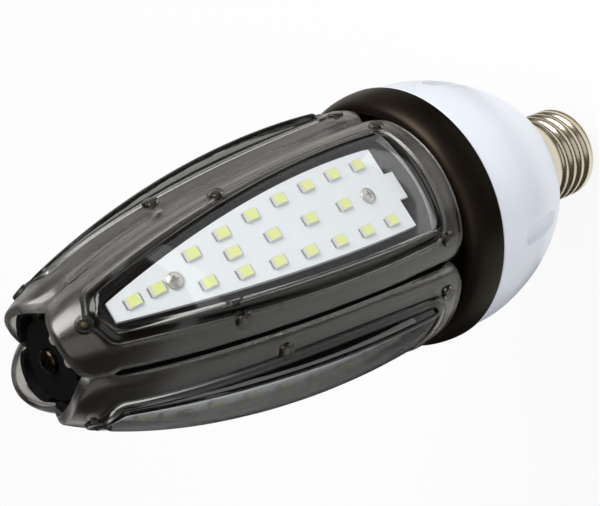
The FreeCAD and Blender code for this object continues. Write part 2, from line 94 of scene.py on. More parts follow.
def new_material(name):
    """An empty material and its node tree."""
    made = bpy.data.materials.new(name)
    made.use_nodes = True
    made.node_tree.nodes.clear()
    return made, made.node_tree


def new_object(name, verts, faces):
    """A smooth shaded mesh object, in the frame's metres, from points in millimetres."""
    mesh = bpy.data.meshes.new(name)
    mesh.from_pydata([tuple(c * MM for c in v) for v in verts], [], faces)
    mesh.validate()
    mesh.shade_smooth()
    made = bpy.data.objects.new(name, mesh)
    bpy.context.scene.collection.objects.link(made)
    return made


def polar(radius, angle, z):
    """A point at a radius and an angle round the bulb's axis."""
    return radius * math.cos(angle), radius * math.sin(angle), z


def full_turn(count):
    """Even angles round the axis."""
    return [FULL_TURN * k / count for k in range(count)]


def grid_faces(rows, columns, closed_rows=False):
    """Quads of a grid whose columns close into a ring, and whose rows may close too."""
    faces = []
    for i in range(rows if closed_rows else rows - 1):
        here, above = i * columns, (i + 1) % rows * columns
        for j in range(columns):
            beside = (j + 1) % columns
            faces.append((here + j, here + beside, above + beside, above + j))
    return faces


def soft_lamp(name, place, aim, width, height, watts):
    """A rectangular soft lamp that faces a point."""
    data = bpy.data.lights.new(name, "AREA")
    data.shape = "RECTANGLE"
    data.size = width * MM
    data.size_y = height * MM
    data.energy = watts
    lamp = bpy.data.objects.new(name, data)
    lamp.location = Vector(place) * MM
    lamp.rotation_euler = (Vector(aim) - Vector(place)).to_track_quat("-Z", "Y").to_euler()
    lamp.visible_camera = False
    bpy.context.scene.collection.objects.link(lamp)
    return lamp


back = (EYE - AIM).normalized()
right = ROLL_UP.cross(back).normalized()
turn = Matrix((right, back.cross(right), back)).transposed()
camera = bpy.data.objects.new("camera", bpy.data.cameras.new("camera"))
camera.matrix_world = Matrix.Translation(EYE) @ turn.to_4x4()
camera.data.lens = LENS
camera.data.sensor_width = SENSOR
camera.data.clip_start = NEAREST * MM
bpy.context.scene.collection.objects.link(camera)
bpy.context.scene.camera = camera
bpy.context.scene.view_settings.view_transform = "Standard"

# White matt paper: a plain white that keeps a soft shadow. To the camera, to mirrors and through clear
# plastic most of it glows an even white.
around = full_turn(FLOOR_CORNERS)
floor = new_object("floor", [polar(FLOOR_R, a, 0.0) for a in around], [list(range(FLOOR_CORNERS))])
paper, tree = new_material("white matt paper")
plain = add_node(tree, "ShaderNodeBsdfDiffuse", {"Color": linear("#f4f4f4")})
glow = add_node(tree, "ShaderNodeEmission", {"Color": linear("#ffffff"), "Strength": 1.0})
path = add_node(tree, "ShaderNodeLightPath")
shown = add_node(tree, "ShaderNodeMath", {"operation": "MAXIMUM"},
                 {0: path.outputs["Is Camera Ray"], 1: path.outputs["Is Transmission Ray"]})
mirrored = add_node(tree, "ShaderNodeMath", {"operation": "MAXIMUM"},
                    {0: shown.outputs[0], 1: path.outputs["Is Glossy Ray"]})
share = add_node(tree, "ShaderNodeMath", {"operation": "MULTIPLY", 1: PAPER_GLOW}, {0: mirrored.outputs[0]})
mix = add_node(tree, "ShaderNodeMixShader", {},
               {"Fac": share.outputs[0], 1: plain.outputs[0], 2: glow.outputs[0]})
add_node(tree, "ShaderNodeOutputMaterial", {}, {"Surface": mix.outputs[0]})
floor.data.materials.append(paper)
floor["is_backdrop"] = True

# Black velvet and matt grey card: a ring of cloth round the bulb, with cards in its place over some degrees.
# Only reflections show it. It keeps the clear covers dark and gives the cap its bands.
cloth_verts = [polar(r, a, CLOTH_Z) for r in (CLOTH_IN, CLOTH_OUT) for a in around]
cloth = new_object("dark cloth", cloth_verts, grid_faces(2, FLOOR_CORNERS))
lies = []
for k in range(FLOOR_CORNERS):
    degrees = 360 / FLOOR_CORNERS * (k + 0.5)
    lies.append(sum(n for n, (start, end, _) in enumerate(CARDS, 1) if start < degrees < end))
cloth.data.polygons.foreach_set("material_index", lies)
for name, colour in [("black velvet cloth", VELVET)] + [("matt grey card", grey) for _, _, grey in CARDS]:
    matt, tree = new_material(name)
    plain = add_node(tree, "ShaderNodeBsdfDiffuse", {"Color": linear(colour)})
    add_node(tree, "ShaderNodeOutputMaterial", {}, {"Surface": plain.outputs[0]})
    cloth.data.materials.append(matt)
cloth.visible_camera = False
cloth.visible_diffuse = False
cloth.visible_transmission = False
cloth.visible_shadow = False
cloth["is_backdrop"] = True

# Studio walls: a cool pale grey that lights the bulb from all round. Reflections see them dark.
world = bpy.data.worlds.new("studio")
world.use_nodes = True
tree = world.node_tree
air = tree.nodes["Background"]
air.inputs["Strength"].default_value = 1.0
path = add_node(tree, "ShaderNodeLightPath")
walls = add_node(tree, "ShaderNodeMix", {"data_type": "RGBA", "A": linear(WALLS), "B": linear(DARK_WALLS)},
                 {"Factor": path.outputs["Is Glossy Ray"]})
tree.links.new(walls.outputs["Result"], air.inputs["Color"])
bpy.context.scene.world = world
soft_lamp("key lamp", (500, 600, 620), (0, 0, 100), 600, 600, 6.2)
soft_lamp("fill lamp", (600, -300, 650), (0, 0, 100), 700, 700, 1.0)
low_panel = soft_lamp("low panel", (108, 12, 4), (108, 12, 1000), 24, 140, 0.009)
low_panel.visible_diffuse = False

# Cap: a pressed brass shell with a rolled screw thread, nickel plated and polished, pushed on to the
# housing. A black insulator closes its end, with the centre contact riveted through.
shell_low, shell_high = (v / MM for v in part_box("cap_shell"))
CAP_R, CAP_FOOT, CAP_TOP = shell_high.x, shell_low.z, shell_high.z
THREAD_PITCH, THREAD_DEPTH, THREAD_FADE, SKIRT = 3.629, 1.1, 1.5, 6.6
FOOT_ROUND, SHELL_WALL = 1.2, 0.65
CAP_BORE = CAP_R - THREAD_DEPTH - SHELL_WALL
CAP_COLUMNS, CAP_ROWS = 144, 130


def grained(name, grain, sockets, roughness=None, colours=None, dent=None, detail=2.0):
    """A finish with a grain in millimetres, which its roughness, colours and dents follow where given."""
    made, tree = new_material(name)
    place = add_node(tree, "ShaderNodeTexCoord")
    grains = add_node(tree, "ShaderNodeTexNoise", {"Scale": 1 / (grain * MM), "Detail": detail},
                      {"Vector": place.outputs["Object"]})
    follows = {}
    if roughness:
        haze = add_node(tree, "ShaderNodeMapRange", {"To Min": roughness[0], "To Max": roughness[1]},
                        {"Value": grains.outputs["Fac"]})
        follows["Roughness"] = haze.outputs["Result"]
    if colours:
        first, second = (linear(colour) for colour in colours)
        tint = add_node(tree, "ShaderNodeMix", {"data_type": "RGBA", "A": first, "B": second},
                        {"Factor": grains.outputs["Fac"]})
        follows["Base Color"] = tint.outputs["Result"]
    if dent:
        strength, deep = dent
        relief = add_node(tree, "ShaderNodeBump", {"Strength": strength, "Distance": deep * MM},
                          {"Height": grains.outputs["Fac"]})
        follows["Normal"] = relief.outputs["Normal"]
    shader = add_node(tree, "ShaderNodeBsdfPrincipled", sockets, follows)
    add_node(tree, "ShaderNodeOutputMaterial", {}, {"Surface": shader.outputs[0]})
    return made


def turned_piece(name, rows, sharp):
    """A hollow piece from rings of points, up its outside and down its bore, sharp from some degrees on."""
    piece = new_object(name, [p for row in rows for p in row], grid_faces(len(rows), len(rows[0]), True))
    piece.data.set_sharp_from_angle(angle=math.radians(sharp))
    return piece


def add_piece(piece, material, slot, *nodes):
    """Gives a piece its material, ties it to the bulb and lets it stand for CAD nodes."""
    if material.name not in piece.data.materials:
        piece.data.materials.append(material)
    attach(piece, "root")
    if nodes:
        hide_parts(*nodes)


def dress(node, material):
    """Puts a finish on a CAD node that keeps its own shape."""
    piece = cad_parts[node]
    piece.data.materials.clear()
    piece.data.materials.append(material)


def thread_r(angle, z):
    """Radius of the rolled thread, fading into the plain skirt and the rounded foot."""
    fade_top = min(1.0, max(0.0, (CAP_TOP - SKIRT - z) / THREAD_FADE))
    fade_foot = min(1.0, max(0.0, (z - CAP_FOOT - FOOT_ROUND) / THREAD_FADE))
    wave = 0.5 - 0.5 * math.cos(FULL_TURN * (z / THREAD_PITCH - angle / FULL_TURN))
    return CAP_R - THREAD_DEPTH * fade_top * fade_foot * wave


around = full_turn(CAP_COLUMNS)
rows = []
for bend in np.linspace(0, QUARTER_TURN, 7):
    foot_r = CAP_R - FOOT_ROUND * (1 - math.sin(bend))
    rows.append([polar(foot_r, a, CAP_FOOT + FOOT_ROUND * (1 - math.cos(bend))) for a in around])
for z in np.linspace(CAP_FOOT + FOOT_ROUND, CAP_TOP, CAP_ROWS)[1:]:
    rows.append([polar(thread_r(a, z), a, z) for a in around])
for z in (CAP_TOP, CAP_FOOT):
    rows.append([polar(CAP_BORE, a, z) for a in around])
cap = turned_piece("cap_screw_shell", rows, 50)

# Polished nickel: a warm white mirror with a slight haze. Its rolling marks are drawn at about 0.4 mm,
# coarser than real ones, so that they show.
nickel = grained("polished nickel plate", 0.4, {"Base Color": linear("#e0d6bf"), "Metallic": 1.0},
                 roughness=(0.22, 0.3))
add_piece(cap, nickel, "cap_nickel", "cap_shell")

# Pressed insulator glass: black and shiny, with the slow waves of hot glass.
glass = grained("black pressed insulator glass", 2.0, {"Base Color": linear("#141416"), "Roughness": 0.15},
                dent=(0.1, 0.1))
dress("cap_insulator", glass)
dress("cap_contact", nickel)

# Driver housing: one white glossy moulding, an ellipsoid with a scooped screw pocket between each two
# modules. It is screwed to the collar from those pockets.
_, housing_high = (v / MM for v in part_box("driver_housing"))
BODY_R, JOINT_Z = housing_high.x, housing_high.z
HOUSING_LENGTH, RIM_ROUND = 51.5, 0.5
POCKET_R, POCKET_OUT, POCKET_TOP = 2.5, BODY_R - 3.25, JOINT_Z - 10.0
SOFT_EDGE, SCOOP_DEPTH = 0.5, 2.4
SCOOP_START, SCOOP_END = math.radians(38), math.radians(52)
SCOOP_LOW, SCOOP_HIGH = JOINT_Z - 32, JOINT_Z - 9
NECK_Z, NECK_STEP = CAP_TOP + 0.4, 1.0
HOUSING_BORE, BORE_DEPTH = 28.3, 20
PLUG_WALL, PLUG_L, FUNNEL_L = 2, 11, 12


def housing_r(angle, z):
    """Outside radius with the scoop of the nearest pocket, its edge softened."""
    outside = BODY_R * math.sqrt(1 - ((z - JOINT_Z) / HOUSING_LENGTH) ** 2)
    off = angle % QUARTER_TURN - math.pi / 4
    across, ball_z = POCKET_OUT * math.sin(off), POCKET_TOP - POCKET_R
    rest = POCKET_R ** 2 - across ** 2 - max(0.0, z - ball_z) ** 2
    scoop = POCKET_OUT * math.cos(off) - math.sqrt(rest) if rest > 0 else POCKET_OUT + POCKET_R
    overlap = outside - scoop
    blend = max(SOFT_EDGE - abs(overlap), 0.0) / SOFT_EDGE
    overlap = max(overlap, 0.0) + blend * blend * SOFT_EDGE / 4
    return outside - SCOOP_DEPTH * (1 - math.exp(-overlap / SCOOP_DEPTH))


# Columns and rows stand closer where the scoops are.
quarter = np.concatenate((np.linspace(0, SCOOP_START, 20, False),
                          np.linspace(SCOOP_START, SCOOP_END, 64, False),
                          np.linspace(SCOOP_END, QUARTER_TURN, 20, False)))
columns = [k * QUARTER_TURN + a for k in range(4) for a in quarter]
levels = np.concatenate((np.linspace(NECK_Z, SCOOP_LOW, 16, False),
                         np.linspace(SCOOP_LOW, SCOOP_HIGH, 80, False),
                         np.linspace(SCOOP_HIGH, JOINT_Z - RIM_ROUND, 8)))
rows = []
for r in (CAP_BORE, housing_r(0.0, NECK_Z) - NECK_STEP):
    rows.append([polar(r, a, CAP_TOP) for a in columns])
for z in levels:
    rows.append([polar(housing_r(a, z), a, z) for a in columns])
for bend in np.linspace(0, QUARTER_TURN, 6)[1:]:
    rim_r = BODY_R - RIM_ROUND * (1 - math.cos(bend))
    rows.append([polar(rim_r, a, JOINT_Z - RIM_ROUND * (1 - math.sin(bend))) for a in columns])
bore = [(HOUSING_BORE, JOINT_Z), (HOUSING_BORE, JOINT_Z - BORE_DEPTH)]
bore += [(CAP_BORE - PLUG_WALL, CAP_TOP + FUNNEL_L), (CAP_BORE - PLUG_WALL, CAP_TOP - PLUG_L)]
bore += [(CAP_BORE, CAP_TOP - PLUG_L)]
rows += [[polar(r, a, z) for a in columns] for r, z in bore]
housing = turned_piece("driver_housing_shell", rows, 40)

# Glossy white polycarbonate: a cool white with a soft sheen and the faint waviness of a moulded wall.
white = grained("glossy white moulded polycarbonate", 9.0,
                {"Base Color": linear("#e1e3e8"), "Roughness": 0.28, "IOR": 1.58},
                dent=(0.08, 0.2), detail=1.0)
add_piece(housing, white, "housing_white", "driver_housing")

# Collar: a turned aluminium ring, anodised dark bronze, with a convex band, a deep groove under the
# covers and a raised seat that the heat sinks are screwed to.
_, collar_high = (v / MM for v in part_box("collar"))
BAND_H, BAND_FALL, BAND_EDGE, LIP_T, LIP_SOFT, GROOVE = 9.4, 3.85, 0.35, 1.4, 0.3, 1.8
SEAT_R, SEAT_TOP, SEAT_T = 27.05, collar_high.z, 4
SPIGOT_R, SPIGOT_BORE, SPIGOT_L, ROD_HOLE = 28.1, 25.0, 4.5, 3.5
COLLAR_COLUMNS = 192
profile = [(SPIGOT_R, JOINT_Z - SPIGOT_L), (SPIGOT_R, JOINT_Z), (BODY_R - BAND_EDGE, JOINT_Z)]
edge_r = BODY_R - BAND_FALL
for bend in np.linspace(math.radians(2), QUARTER_TURN, 24):
    profile.append((edge_r + BAND_FALL * math.cos(bend), JOINT_Z + BAND_H * math.sin(bend)))
lip_r = edge_r - LIP_T
groove_z = JOINT_Z + BAND_H - GROOVE
profile += [(lip_r + LIP_SOFT, JOINT_Z + BAND_H), (lip_r, JOINT_Z + BAND_H - LIP_SOFT), (lip_r, groove_z)]
profile += [(SEAT_R, groove_z), (SEAT_R, SEAT_TOP), (ROD_HOLE, SEAT_TOP), (ROD_HOLE, SEAT_TOP - SEAT_T)]
profile += [(SPIGOT_BORE, SEAT_TOP - SEAT_T), (SPIGOT_BORE, JOINT_Z - SPIGOT_L)]
around = full_turn(COLLAR_COLUMNS)
collar = turned_piece("bronze_collar", [[polar(r, a, z) for a in around] for r, z in profile], 40)

# Bronze anodised aluminium: a dark warm metal with a satin blast, so highlights spread and stay brown. The
# grit is drawn at 0.35 mm, coarser than a real blast, so that it shows.
bronze = grained("satin bronze anodised aluminium", 0.35, {"Base Color": linear("#352d25"), "Metallic": 0.9},
                 roughness=(0.36, 0.46), dent=(0.15, 0.03), detail=3.0)
add_piece(collar, bronze, "collar_bronze", "collar")

# Driver: a round fibre board on a ledge in the housing, with the parts that feed the LEDs. All of it
# is closed in, and only its finishes matter.

# Green fibre board: two near greens that mingle like the glass cloth under the lacquer.
fibre = grained("green fibre board", 1.0, {"Roughness": 0.4}, colours=("#1f5436", "#2c6b48"))
dress("driver_board", fibre)

# Sintered ferrite: a dull dark grey with a mineral grain.
ferrite = grained("dark sintered ferrite", 0.6, {"Base Color": linear("#35353a")}, roughness=(0.5, 0.75))
for part in ("transformer", "choke", "rectifier", "transistor", "capacitor"):
    dress("driver_" + part, ferrite)

# Heat sinks: four black anodised castings that stand on the collar, each with a bent pad for its board.
# They show as the black between and under the covers.
MODULES = (1, 2, 3, 4)

# Black anodised casting: a deep flat black with the skin of the sand it was cast in.
sink_black = grained("black anodised casting", 0.5,
                     {"Base Color": linear("#0a0a0b"), "Specular IOR Level": 0.3},
                     roughness=(0.55, 0.7), dent=(0.1, 0.02), detail=3.0)
for k in MODULES:
    dress("heat_sink_%d" % k, sink_black)

# LED boards: bent aluminium boards with white solder resist, tapering to the nose, with a tab at the
# foot. Each carries its LEDs and is held by two screws.
board_low, board_high = (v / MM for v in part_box("led_board_1"))
BOARD_T, BOARD_ARC, BOARD_CREST = 1.6, 180.0, board_high.x
TAB_L, TAB_W = 3.0, 7.3
BOARD_FOOT, BOARD_TIP = board_low.z + TAB_L, board_high.z
BOARD_PEAK, BOARD_EDGE = BOARD_FOOT + 12.5, 0.15
BOARD_SIDE = [(10.7, BOARD_FOOT), (10.0, BOARD_FOOT + 31.5), (2.3, BOARD_TIP)]
BOARD_ROWS, RIM_BEND, RIM_LEVEL = 48, 1.0, 0.1


def arc_through(points, z):
    """Side step at height z of the arc through three (side, height) points."""
    (w1, z1), (w2, z2), (w3, z3) = points
    c1 = (w2 ** 2 - w1 ** 2 + z2 ** 2 - z1 ** 2) / 2
    c2 = (w3 ** 2 - w1 ** 2 + z3 ** 2 - z1 ** 2) / 2
    det = (w2 - w1) * (z3 - z1) - (w3 - w1) * (z2 - z1)
    w0 = (c1 * (z3 - z1) - c2 * (z2 - z1)) / det
    z0 = (c2 * (w2 - w1) - c1 * (w3 - w1)) / det
    return w0 + math.sqrt((w1 - w0) ** 2 + (z1 - z0) ** 2 - (z - z0) ** 2)


def board_x(z):
    """Distance of the board's LED side from the axis."""
    return BOARD_CREST - BOARD_ARC + math.sqrt(BOARD_ARC ** 2 - (z - BOARD_PEAK) ** 2)


def board_slope(z):
    """How far the board leans in towards the nose, as an angle."""
    return math.asin((z - BOARD_PEAK) / BOARD_ARC)


def at_module(piece, k):
    """Turns a piece made for the first module to module k, in its mesh."""
    piece.data.transform(Matrix.Rotation(QUARTER_TURN * (k - 1), 4, "Z"))
    return piece


# The board is cut flat, given its thickness and edges, and then bent.
board_levels = np.linspace(BOARD_FOOT, BOARD_TIP, BOARD_ROWS)
side = [(TAB_W / 2, BOARD_FOOT - TAB_L), (TAB_W / 2, BOARD_FOOT)]
side += [(arc_through(BOARD_SIDE, z), z) for z in board_levels]
outline = side + [(-w, z) for w, z in reversed(side)]
flat = bmesh.new()
flat.faces.new([flat.verts.new((0, w, z)) for w, z in outline])
for z in board_levels[1:-1]:
    everything = flat.verts[:] + flat.edges[:] + flat.faces[:]
    bmesh.ops.bisect_plane(flat, geom=everything, plane_co=(0, 0, z), plane_no=(0, 0, 1))
pressed = bmesh.ops.extrude_face_region(flat, geom=flat.faces[:])
for v in pressed["geom"]:
    if isinstance(v, bmesh.types.BMVert):
        v.co.x = -BOARD_T
bmesh.ops.recalc_face_normals(flat, faces=flat.faces[:])
rim = [e for e in flat.edges
       if e.calc_face_angle(0) > RIM_BEND and abs(e.verts[0].co.x - e.verts[1].co.x) < RIM_LEVEL]
bmesh.ops.bevel(flat, geom=rim, offset=BOARD_EDGE, segments=2, affect="EDGES")
for v in flat.verts:
    slope, depth = board_slope(v.co.z), v.co.x
    v.co = (board_x(v.co.z) + depth * math.cos(slope), v.co.y, v.co.z + depth * math.sin(slope))
flat.verts.index_update()
board_verts = [tuple(v.co) for v in flat.verts]
board_faces = [[v.index for v in f.verts] for f in flat.faces]
flat.free()

# White solder resist: a bright, slightly cool white with a soft gloss and a faint print texture.
resist = grained("white solder resist", 0.8, {}, roughness=(0.32, 0.42), colours=("#f2f5f7", "#f9fafb"))
for k in MODULES:
    piece = at_module(new_object("white_board_%d" % k, board_verts, board_faces), k)
    piece.data.set_sharp_from_angle(angle=math.radians(30))
    add_piece(piece, resist, "board_white", "led_board_%d" % k)

# LEDs: white moulded packages with a phosphor window set nearer the collar, on tinned solder pads.
# They stand in two long rows, a middle row and two at the tip.
LED_L, LED_W, LED_H, LED_SOFT, LED_MARGIN = 3.5, 2.8, 0.65, 0.12, 3.2
PHOSPHOR_L, PHOSPHOR_W, PHOSPHOR_DEPTH = 2.8, 2.45, 0.2
PHOSPHOR_SHIFT, PHOSPHOR_RISE, PHOSPHOR_SOFT = -0.24, 0.06, 0.08
PAD_OUT, PAD_UNDER, PAD_SIDE, PAD_T, PAD_SOFT = 0.35, 0.4, 0.25, 0.12, 0.04
PAIRS, PAIR_START, PAIR_PITCH = 7, 6.5, 8.35
MIDDLES, MIDDLE_START, MIDDLE_PITCH = 4, 16.5, 10.6
TIP_LEDS = (10.5, 5.0)


def box_mesh(low, high, bevel):
    """Points and faces of a box with bevelled edges."""
    made = bmesh.new()
    bmesh.ops.create_cube(made, size=1.0)
    for v in made.verts:
        v.co = [low[i] + (v.co[i] + 0.5) * (high[i] - low[i]) for i in range(3)]
    bmesh.ops.bevel(made, geom=made.edges[:], offset=bevel, segments=2, affect="EDGES")
    made.verts.index_update()
    points = [tuple(v.co) for v in made.verts]
    faces = [[v.index for v in f.verts] for f in made.faces]
    made.free()
    return points, faces


led_rows = []
for k in range(PAIRS):
    z = BOARD_FOOT + PAIR_START + PAIR_PITCH * k
    beside = arc_through(BOARD_SIDE, z) - LED_MARGIN
    led_rows += [(beside, z), (-beside, z)]
led_rows += [(0.0, BOARD_FOOT + MIDDLE_START + MIDDLE_PITCH * k) for k in range(MIDDLES)]
led_rows += [(0.0, BOARD_TIP - step) for step in TIP_LEDS]

led_parts = [box_mesh((0, -LED_W / 2, -LED_L / 2), (LED_H, LED_W / 2, LED_L / 2), LED_SOFT)]
led_parts.append(box_mesh((LED_H - PHOSPHOR_DEPTH, -PHOSPHOR_W / 2, PHOSPHOR_SHIFT - PHOSPHOR_L / 2),
                          (LED_H + PHOSPHOR_RISE, PHOSPHOR_W / 2, PHOSPHOR_SHIFT + PHOSPHOR_L / 2),
                          PHOSPHOR_SOFT))
for end in (-1, 1):
    low, high = sorted((end * (LED_L / 2 - PAD_UNDER), end * (LED_L / 2 + PAD_OUT)))
    half_w = LED_W / 2 - PAD_SIDE
    led_parts.append(box_mesh((0.0, -half_w, low), (PAD_T, half_w, high), PAD_SOFT))
led_verts, led_faces, led_slots = [], [], []
for w, z in led_rows:
    slope = board_slope(z)
    for part, (points, faces) in enumerate(led_parts):
        base = len(led_verts)
        for x, y, h in points:
            led_verts.append((board_x(z) + x * math.cos(slope) - h * math.sin(slope), w + y,
                              z + x * math.sin(slope) + h * math.cos(slope)))
        led_faces += [[base + i for i in f] for f in faces]
        led_slots += [min(part, 2)] * len(faces)

# White package resin: a warm white, nearly matt, with the fine grain of its filler.
resin = grained("white package resin", 0.3, {"Base Color": linear("#e6e5e1")}, roughness=(0.35, 0.5))

# Phosphor in silicone: a pale lemon yellow, soft and a little glossy, with light spread in it.
phosphor = grained("yellow phosphor in silicone", 0.7,
                   {"Roughness": 0.3, "Subsurface Weight": 0.2, "Subsurface Scale": 0.4 * MM},
                   colours=("#fffa92", "#fffdb8"))

# Reflowed tin: a bright grey metal, in part dull from the flux.
tin = grained("reflowed tin", 0.3, {"Base Color": linear("#b9b8b6"), "Metallic": 1.0},
              roughness=(0.25, 0.45))
for k in MODULES:
    piece = at_module(new_object("led_packages_%d" % k, led_verts, led_faces), k)
    add_piece(piece, resin, "led_package", "leds_%d" % k)
    piece.data.materials.append(phosphor)
    piece.data.materials.append(tin)
    piece.data.polygons.foreach_set("material_index", led_slots)
    piece.data.set_sharp_from_angle(angle=math.radians(40))

# Board screws: small zinc plated steel screws with a pan head and a cross recess. Two hold each board down
# on its heat sink.
BOARD_SCREW = {"head_r": 2.0, "head_h": 0.9, "shank_r": 1.1, "shank_l": 3.0, "recess": 1.2}
BOARD_SCREW_LEVELS = (BOARD_FOOT + 8.8, BOARD_TIP - 14.6)


def turned_solid(profile, count):
    """Points and faces of a solid turned about Z, closed at its foot and top."""
    points = [polar(r, a, z) for r, z in profile for a in full_turn(count)]
    ends = [list(range(count))[::-1], list(range(len(points) - count, len(points)))]
    return points, grid_faces(len(profile), count) + ends


def screw_mesh(head_r, head_h, shank_r, shank_l, recess):
    """Points and faces of a domed screw along Z with a tapered cross recess, its seat at zero."""
    brim, arm_w, cross_top, cross_floor = 0.35, 0.55, 1.4, 0.25
    profile = [(shank_r, -shank_l), (shank_r, 0.0), (head_r, 0.0)]
    for bend in np.linspace(0, math.radians(84), 9):
        profile.append((head_r * math.cos(bend), head_h * (brim + (1 - brim) * math.sin(bend))))
    solid = new_object("screw blank", *turned_solid(profile, 40))
    arms = bmesh.new()
    for lengthwise in (False, True):
        for v in bmesh.ops.create_cube(arms, size=1.0)["verts"]:
            at_top = v.co.z > 0
            taper = 1.0 if at_top else arm_w
            v.co.x *= recess * taper * (2 if lengthwise else arm_w)
            v.co.y *= recess * taper * (arm_w if lengthwise else 2)
            v.co.z = head_h * (cross_top if at_top else cross_floor)
    cross = bpy.data.meshes.new("cross")
    arms.transform(Matrix.Scale(MM, 4))
    arms.to_mesh(cross)
    arms.free()
    cutter = bpy.data.objects.new("cross cutter", cross)
    bpy.context.scene.collection.objects.link(cutter)
    cut = solid.modifiers.new("recess", "BOOLEAN")
    cut.operation = "DIFFERENCE"
    cut.object = cutter
    cut.solver = "EXACT"
    cut.use_self = True
    result = bpy.data.meshes.new_from_object(solid.evaluated_get(bpy.context.evaluated_depsgraph_get()))
    points = [tuple(c / MM for c in v.co) for v in result.vertices]
    faces = [list(f.vertices) for f in result.polygons]
    bpy.data.objects.remove(solid)
    bpy.data.objects.remove(cutter)
    return points, faces


def copies(shape, places):
    """Points and faces of copies of a shape, each with its seat at a point and its top along a direction."""
    verts, faces = [], []
    for point, out in places:
        upright = Vector((0, 0, 1)).rotation_difference(Vector(out)).to_matrix()
        base = len(verts)
        verts += [tuple(upright @ Vector(p) + Vector(point)) for p in shape[0]]
        faces += [[base + i for i in f] for f in shape[1]]
    return verts, faces


def set_screws(name, shape, places, material, *nodes):
    """One piece of like screws."""
    piece = new_object(name, *copies(shape, places))
    piece.data.set_sharp_from_angle(angle=math.radians(35))
    add_piece(piece, material, "zinc_steel", *nodes)


def round_axis(places):
    """The same places at all four modules."""
    turns = [Matrix.Rotation(QUARTER_TURN * (k - 1), 3, "Z") for k in MODULES]
    return [(turn @ Vector(point), turn @ Vector(out)) for turn in turns for point, out in places]


# Zinc plate: a pale warm grey metal, a little cloudy.
zinc = grained("bright zinc plated steel", 0.8, {"Base Color": linear("#dcd9d1"), "Metallic": 0.7},
               roughness=(0.22, 0.38), detail=3.0)
places = [((board_x(z), 0, z), (math.cos(board_slope(z)), 0, math.sin(board_slope(z))))
          for z in BOARD_SCREW_LEVELS]
set_screws("board_pan_screws", screw_mesh(**BOARD_SCREW), round_axis(places), zinc, "board_screws")

# Gaskets: thin black silicone seals, moulded to the covers' outline and pressed between the covers and the
# heat sinks.

# Moulded silicone: a soft black with a dull skin.
silicone = grained("black moulded silicone", 0.4, {"Base Color": linear("#0b0b0c")}, roughness=(0.55, 0.7))
for k in MODULES:
    dress("gasket_%d" % k, silicone)

# Covers: smoked clear polycarbonate mouldings. A round flange carries a raised window over the board,
# a fine ridge round the window and five blind bosses that take the screws from behind.
cover_low, cover_high = (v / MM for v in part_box("cover_1"))
COVER_FOOT, COVER_TIP = cover_low.z, cover_high.z
SEAM, FLANGE_WALL, WINDOW_WALL = 1.75, 2.0, 1.3
FLANGE_AXIS, FLANGE_CREST, FLANGE_MIDDLE = 6.0, BODY_R - 2.55, COVER_FOOT + 4.3
FLANGE_LENGTH = COVER_TIP - FLANGE_MIDDLE + 10.0
WINDOW_AXIS, WINDOW_CREST, WINDOW_ARC = -8.0, FLANGE_CREST + 0.45, 209.0
WINDOW_FOOT, WINDOW_TIP = COVER_FOOT + 8.1, COVER_TIP - 8.3
WINDOW_PEAK, WINDOW_CORNER = WINDOW_FOOT + 11.2, 2.2
WINDOW_FOOT_W, WINDOW_MIDDLE_W, WINDOW_TIP_W = 14.4, 12.7, 5.0
WINDOW_MIDDLE, WINDOW_POINT = WINDOW_FOOT + 44.2, 1.6
TIP_INSET_W, TIP_INSET_Z = 0.92, 0.9
RIDGE_STEP, RIDGE_W, RIDGE_H = 2.7, 1.1, 0.6
WALL_MARGIN, FLANGE_MARGIN = 1.0, 0.2
WINDOW_SOFT, FOOT_SOFT, RIM_SOFT = 0.7, 0.5, 0.5
TOP_SOFT_MOST, FOOT_SOFT_MOST = 0.5, 0.4
COVER_HALF_W, COVER_SHOULDER_W, COVER_NOSE_W = 20.2, 15.5, 10.8
COVER_NOSE_L, COVER_CORNER = 10.7, 4.0
TAPER_START, TAPER_SHOULDER = 0.5, 0.76
FARTHEST, HALVINGS = 60.0, 36
POLE, LEAST, WELD = 0.95, 0.01, 1e-4


def flange_crest(z, depth):
    """Distance of the flange's crest line from the axis, cut short of the ellipsoid's poles."""
    along = np.clip((z - FLANGE_MIDDLE) / (FLANGE_LENGTH - depth), -POLE, POLE)
    return (FLANGE_CREST - depth) * np.sqrt(1 - along ** 2)


def flange_x(w, z, depth):
    """Distance from the axis of the flange surface, moved in by depth."""
    radius = flange_crest(z, depth) - FLANGE_AXIS
    return FLANGE_AXIS + np.sqrt(np.maximum(radius ** 2 - w ** 2, LEAST))


def window_x(w, z, depth):
    """Distance from the axis of the window surface, moved in by depth."""
    crest = WINDOW_CREST - WINDOW_ARC + np.sqrt((WINDOW_ARC - depth) ** 2 - (z - WINDOW_PEAK) ** 2)
    return WINDOW_AXIS + np.sqrt((crest - WINDOW_AXIS) ** 2 - w ** 2)


def seam_w(z, depth):
    """Half width of the flange where it meets the slot to the next cover."""
    radius, shift = flange_crest(z, depth) - FLANGE_AXIS, FLANGE_AXIS - SEAM / math.sqrt(2)
    return 0.5 * (shift + np.sqrt(np.maximum(2 * radius ** 2 - shift ** 2, LEAST)))


def closed_outline(half):
    """Closed outline from its right half, given from the foot's middle to the tip's middle."""
    return np.array(list(half) + [(-w, z) for w, z in reversed(half[1:-1])])


